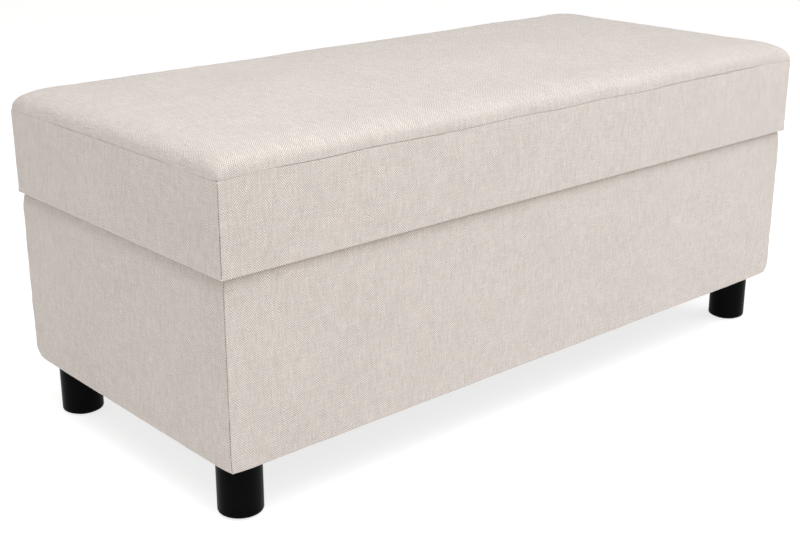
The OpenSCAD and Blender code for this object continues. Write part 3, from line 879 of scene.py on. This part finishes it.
def simulate_cushion():
    """Blows the coarse cushion up a little between its seams, with slightly slack cloth, and
    gives how far each panel's points moved: {name: grid of moves}."""
    places, faces, grids = coarse_cushion()
    mesh = bpy.data.meshes.new("cushion_sim")
    mesh.from_pydata(places.tolist(), [], faces)
    bag = add_object("cushion_sim", mesh)
    held = set()
    for index in grids.values():
        held.update(index[:, 0], index[:, -1], index[-1], index[0])
    pins = bag.vertex_groups.new(name="seams")
    pins.add([int(i) for i in held], 1.0, "REPLACE")
    cloth = bag.modifiers.new("cloth", "CLOTH")
    for name, value in CLOTH_SETTINGS.items():
        setattr(cloth.settings, name, value)
    cloth.settings.vertex_group_mass = pins.name
    cloth.settings.effector_weights.gravity = 0
    cloth.point_cache.frame_start, cloth.point_cache.frame_end = 1, LAST_FRAME
    for frame_number in range(1, LAST_FRAME + 1):
        bpy.context.scene.frame_set(frame_number)
    shown = bag.evaluated_get(bpy.context.evaluated_depsgraph_get()).data
    moved = np.zeros(len(shown.vertices) * 3, np.float32)
    shown.vertices.foreach_get("co", moved)
    moves = moved.reshape(-1, 3).astype(float) - places
    bpy.context.scene.frame_set(1)
    bpy.data.objects.remove(bag)
    bpy.data.meshes.remove(mesh)
    return {name: moves[index] for name, index in grids.items()}


def blurred(grid, passes):
    """A grid smoothed over its neighbours, again and again."""
    for _ in range(passes):
        for axis in (0, 1):
            edge = np.concatenate([grid.take([0], axis), grid, grid.take([-1], axis)], axis)
            size = grid.shape[axis]
            before, after = edge.take(range(size), axis), edge.take(range(2, size + 2), axis)
            grid = (before + 2 * grid + after) / 4
    return grid


def capped(grid, swell, most):
    """What is kept of a simulated move. The filling holds the cloth, so the swelling is scaled
    to swell at the most, and each wrinkle on it is limited to most either way."""
    broad = blurred(grid, BROAD_PASSES)
    return swell * broad / np.abs(broad).max() + most * np.tanh((grid - broad) / most)


def sampler(values):
    """A smooth function of two shares from 0 to 1, across and down a grid."""
    rows, columns = values.shape

    def sample(across, down):
        c, r = np.broadcast_arrays(
            np.clip(across, 0, 1) * (columns - 1), np.clip(down, 0, 1) * (rows - 1)
        )
        c0 = np.clip(np.floor(c).astype(int), 0, columns - 2)
        r0 = np.clip(np.floor(r).astype(int), 0, rows - 2)
        total = 0
        for dr in range(-1, 3):
            for dc in range(-1, 3):
                weight = spline(r - r0 - dr) * spline(c - c0 - dc)
                row, column = np.clip(r0 + dr, 0, rows - 1), np.clip(c0 + dc, 0, columns - 1)
                total = total + weight * values[row, column]
        return total

    return sample


def spline(t):
    """The cubic B-spline's weight at a distance of t cells."""
    t = np.abs(t)
    near = 2 / 3 - t * t + t ** 3 / 2
    far = np.power(np.maximum(2 - t, 0), 3) / 6
    return np.where(t < 1, near, far)


def cushion_moves():
    low, high = LID
    moves = simulate_cushion()
    lift = sampler(capped(moves["top"][..., 2], TOP_SWELL, TOP_WRINKLE))
    outward = {FRONT: (1, -1), BACK: (1, 1), LEFT: (0, -1), RIGHT: (0, 1)}
    bulges = {}
    for side, (axis, sign) in outward.items():
        bulges[side] = sampler(capped(moves[side][..., axis] * sign, SIDE_SWELL, SIDE_WRINKLE))
    return (
        lambda x, y: lift((x - low.x) / LID_SIZE.x, (high.y - y) / LID_SIZE.y),
        lambda side, across, down: bulges[side](across, down),
    )


# ---- Box ----

# How far in from its face the cover hangs inside the rim, and how far it turns in underneath
RIM_DEPTH = INSIDE[0].x - BASE[0].x + 1 * MM
BASE_TURN_IN = 30 * MM
# Cloth deeper than this is no longer on the box's outside
OUTSIDE_DEPTH = 6 * MM
# Padding lifts the rim, but not near the back, where the hinges are; it sets in over a run
RIM_LIFT, HINGE_CLEAR, RIM_RUN = 1.7 * MM, 15 * MM, 30 * MM
# The slight unevenness of the box's faces and of their lower edges
FACE_UNEVEN = 0.2 * MM


def rim_ease(height):
    """How much deeper the cover lies near the rim, where the padding thins out."""
    return 2.0 * MM * fade(BASE[1].z - height, 11 * MM)


def corner_draw(height):
    """How far the box's upright corners are drawn in at their lower ends."""
    return 3.0 * MM * fade(height - BASE[0].z, 9 * MM)


def base_profile():
    """From inside the rim, over it, down the face, round the lower edge and in under the box:
    inward depth, height and distance along the cloth."""
    outer_r, inner_r, lower_r = 4 * MM, 1.6 * MM, 3.2 * MM
    top, bottom = BASE[1].z, BASE[0].z
    flap = np.linspace(INSIDE[1].z, top - inner_r, 6)[:-1]
    inner_c, inner_s = arc(inner_r, 0, 90, 6)
    outer_c, outer_s = arc(outer_r, 90, 180, 9)
    lower_c, lower_s = arc(lower_r, 180, 270, 8)
    face_height = top - outer_r - bottom - lower_r
    face = np.flip(bottom + lower_r + graded(face_height, 1.2 * MM, 2.4 * MM, 1.2)[1:-1])
    turn_in = np.linspace(lower_r, BASE_TURN_IN, 8)[1:]
    depth = np.concatenate([
        0 * flap + RIM_DEPTH, RIM_DEPTH - inner_r + inner_c, outer_r + outer_c, 0 * face,
        lower_r + lower_c, turn_in,
    ])
    height = np.concatenate([
        flap, top - inner_r + inner_s, top - outer_r + outer_s, face,
        bottom + lower_r + lower_s, bottom + 0 * turn_in,
    ])
    step = np.hypot(np.diff(depth), np.diff(height))
    return depth, height, running(step)


def base_points(side, along, depth, height):
    """Places a grid of depths and heights on one side of the box, with its corners sewn."""
    length = side_length(side, BASE)
    seed = base_seed(side)
    across, height = np.meshgrid(along, height)
    depth = depth[:, None] + 0 * across
    outside = np.clip(1 - depth / OUTSIDE_DEPTH, 0, 1)
    depth = depth + rim_ease(height) * outside
    above = height - BASE[0].z
    rolled, inward = roll_in(across, length)
    face_along = mitre(across, length, depth) + (rolled - across) * outside
    held = np.clip((BASE[1].z - height) / (20 * MM), 0, 1) * outside
    drawn = corner_draw(height) * fade(from_ends(across, length), 16 * MM)
    amount = pucker(across, length, height, seed) * held + drawn * outside
    depth = depth + inward * outside
    depth, face_along = move_corner(depth, face_along, length, amount)
    uneven = ripple(across, height, seed + 9, 80 * MM, 400 * MM)
    hem = np.exp(-above / (10 * MM)) * ripple(across, above, seed + 4, 30 * MM, 120 * MM)
    depth = depth + FACE_UNEVEN * held * (uneven + hem)
    points = place_side(side, BASE, face_along, depth, height)
    from_back = np.clip((BASE[1].y - points[..., 1] - HINGE_CLEAR) / RIM_RUN, 0, 1)
    points[..., 2] += RIM_LIFT * from_back * np.exp(-(BASE[1].z - height) / (6 * MM))
    return points


def base_seed(side):
    """One seed for a side's cover and padding, so that the two follow each other."""
    return 60 + 3 * SIDES.index(side)


def base_cover(side):
    """The box's cover on one side."""
    length = side_length(side, BASE)
    along = graded(length, 0.35 * MM, 8 * MM, 1.16)
    depth, height, down = base_profile()
    points = base_points(side, along, depth, height)
    weave = stacked(along + 2.3 * base_seed(side), -down[:, None])
    cover = shell(points, weave, CLOTH)
    piece = make_piece(f"base_cover_{side}", [cover], FABRIC, "box", ["base_cover"])


def base_padding(side):
    """The thin foam under the cover on one side, a little thinner at its edges."""
    length = side_length(side, BASE)
    along = graded(length, 2 * MM, 20 * MM)[1:-1]
    low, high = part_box(f"{side}_padding")
    depth = np.array([2.8, 1.6, 1.3, 1.3, 1.6, 2.8]) * MM
    below_top, above_bottom = np.array([0.5, 1.5, 6]) * MM, np.array([6, 3, 1]) * MM
    height = np.concatenate([high.z - below_top, low.z + above_bottom])
    points = base_points(side, along, depth, height)
    sheet = shell(points, stacked(along, height[:, None]), 3.2 * MM)
    piece = make_piece(f"base_padding_{side}", [sheet], "foam", "box", [f"{side}_padding"])


def inside_lining():
    """Four walls and a floor of cloth, sewn along the edges of the storage space."""
    low, high = INSIDE
    inset = 1 * MM
    margin = Vector((inset, inset, 0))
    space = (low + margin, high - margin)
    slack_most, seam_run = 0.3 * MM, 20 * MM
    parts = []
    for side in SIDES:
        length = side_length(side, space)
        along = graded(length, 2 * MM, 9 * MM)
        height = np.flip(low.z + inset + graded(high.z - low.z - inset, 2 * MM, 7 * MM))
        seed = 90 + 3 * SIDES.index(side)
        u, z = np.meshgrid(along, height)
        free = np.minimum(from_ends(u, length), np.minimum(z - height[-1], height[0] - z))
        loose = np.clip(free / seam_run, 0, 1)
        slack = slack_most * loose * np.maximum(1 + ripple(u, z, seed, 35 * MM, 220 * MM), 0)
        points = place_side(side, space, u, slack, z)
        # its outer side is the one seen from inside the box, so the rows run up the wall
        weave = stacked(u + seed, z)
        parts.append(shell(points[::-1], weave[::-1], LINING))
    x, y = plan_grid(*space, 2 * MM, 10 * MM)
    loose = np.clip(np.minimum(*from_edges(x, y, *space)) / seam_run, 0, 1)
    lift = slack_most * loose * (1 + ripple(x, y, 99, 50 * MM, 260 * MM))
    z = low.z + LINING + 0.05 * MM + np.maximum(lift, 0)
    floor = stacked(x, y, z)
    parts.append(shell(floor, floor[..., :2], LINING))
    piece = make_piece("storage_lining", parts, "lining_cloth", "box", ["inner_lining"])


def flat_cloth(name, node, slot, body, sag, seed):
    """A cloth stapled on under the lid or the box, gathered at its edge and sagging between."""
    low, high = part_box(node)
    x, y = plan_grid(low, high, 0.8 * MM, 7 * MM, 1.3)
    edge = np.minimum(*from_edges(x, y, low, high))
    slack = np.clip(edge / (60 * MM), 0, 1)
    droop = sag * slack * (0.6 + 0.3 * ripple(x, y, seed, 70 * MM, 400 * MM))
    gathers = np.exp(-edge / (14 * MM)) * (1 + ripple(x, y, seed + 1, 16 * MM, 60 * MM))
    droop = droop + 0.25 * MM * gathers * np.clip(edge / (2 * MM), 0, 1)
    # its outer side faces down, so its columns run the other way
    points = stacked(x, y, low.z - np.maximum(droop, 0))[:, ::-1]
    thickness = (high.z - low.z) * 0.9
    piece = make_piece(name, [shell(points, points[..., :2], thickness)], slot, body, [node])


# ---- Stitches ----

STITCH_PITCH = 3.4 * MM
CORNER_THREAD_R, TOP_THREAD_R = 0.32 * MM, 0.45 * MM
# How much of the pitch a stitch fills
CORNER_SHARE, TOP_SHARE = 0.8, 0.92
# How deep a corner's stitches lie in their groove, in each direction
GROOVE_DEPTH = 1.45 * SEAM_R


def capsules(places, directions, length, radius):
    """Short round-ended threads, one at each place."""
    count = 6
    around = np.linspace(0, 2 * math.pi, count, endpoint=False)
    # rings along a thread: their places as shares of half its length, and shares of its radius
    rings = ((-1, 0.25), (-0.82, 0.75), (-0.45, 1), (0.45, 1), (0.82, 0.75), (1, 0.25))
    verts, faces = [], []
    for place, direction in zip(places, directions):
        a = direction / np.linalg.norm(direction)
        # no thread lies along this direction, so it gives the two across the thread
        b = np.cross(a, [0.3, 0.5, 0.8])
        b /= np.linalg.norm(b)
        c = np.cross(a, b)
        start = count * len(rings) * len(verts)
        verts.append(np.array([
            place + a * s * length / 2 + radius * w * (b * math.cos(t) + c * math.sin(t))
            for s, w in rings for t in around
        ]))
        faces.extend(ring_faces(len(rings), count, start))
        last = start + count * (len(rings) - 1)
        # two four-sided faces close each end
        faces.extend([start + i for i in half] for half in ((3, 2, 1, 0), (0, 5, 4, 3)))
        faces.extend([last + i for i in half] for half in ((0, 1, 2, 3), (3, 4, 5, 0)))
    verts = np.concatenate(verts)
    return verts, faces, verts[:, :2]


def corner_stitches(box, clear, drawn):
    """Places down the four upright corner seams of a box, in the bottom of their grooves and
    clear of their ends. drawn says how much further in the corners lie at a height."""
    heights = np.arange(box[0].z + clear, box[1].z - clear, STITCH_PITCH)
    shift = GROOVE_DEPTH + drawn(heights)
    places = []
    for sx, x in ((1, box[0].x), (-1, box[1].x)):
        for sy, y in ((1, box[0].y), (-1, box[1].y)):
            places.append(stacked(x + sx * shift, y + sy * shift, heights))
    places = np.concatenate(places)
    return places, np.tile([0.0, 0.0, 1.0], (len(places), 1))


def ring_stitches():
    """Places along the lid's top seam, all round, and the directions of the stitches there."""
    places, directions = [], []
    for side in SIDES:
        length = side_length(side, LID)
        along = np.arange(4 * MM, length - 4 * MM, STITCH_PITCH)
        # the seam is pulled in deeper towards the corners
        depth = SEAM_R * (0.5 + 0.8 * np.exp(-from_ends(along, length) / (45 * MM)))
        here = place_side(side, LID, along, depth, seam_height(side, along, length))
        further = along + 1 * MM
        ahead = place_side(side, LID, further, depth, seam_height(side, further, length))
        places.append(here)
        directions.append(ahead - here)
    return np.concatenate(places), np.concatenate(directions)


def stitches():
    """The threads in the lid's top seam and in the corner seams of the lid and the box."""
    top = capsules(*ring_stitches(), TOP_SHARE * STITCH_PITCH, TOP_THREAD_R)
    make_piece("lid_seam_stitches", [top], FABRIC, "lid", material="thread")
    lid = corner_stitches(LID, 3 * MM, lambda z: 0 * z)
    base = corner_stitches(BASE, 4 * MM, lambda z: corner_draw(z) + rim_ease(z))
    for name, body, places in (("lid", "lid", lid), ("base", "box", base)):
        # the corner threads' near-black colour is painted shade for their grooves
        corners = capsules(*places, CORNER_SHARE * STITCH_PITCH, CORNER_THREAD_R)
        make_piece(f"{name}_corner_stitches", [corners], FABRIC, body, material="groove_shade_thread")


# ---- Everything ----

def dress_frame():
    """Each CAD node that stays in sight gets its slot's material."""
    for row in frame["record"]["subparts"]:
        node = frame["nodes"][row["node"]]
        node.data.materials.clear()
        node.data.materials.append(MATERIALS[row["material_slot"]])


bpy.context.scene.view_settings.view_transform = "Standard"
make_camera()
make_studio()
dress_frame()
lift, bulge = cushion_moves()
for side in SIDES:
    lid_border(side, bulge)
    base_cover(side)
    base_padding(side)
lid_top(lift)
lid_filling()
inside_lining()
flat_cloth(
    "lid_underside_sheet", "lid_underside_cloth", "lining_cloth", "lid",
    sag=0.8 * MM, seed=120,
)
flat_cloth(
    "dust_sheet", "dust_cover", "dust_cloth", "box",
    sag=1.6 * MM, seed=130,
)
stitches()
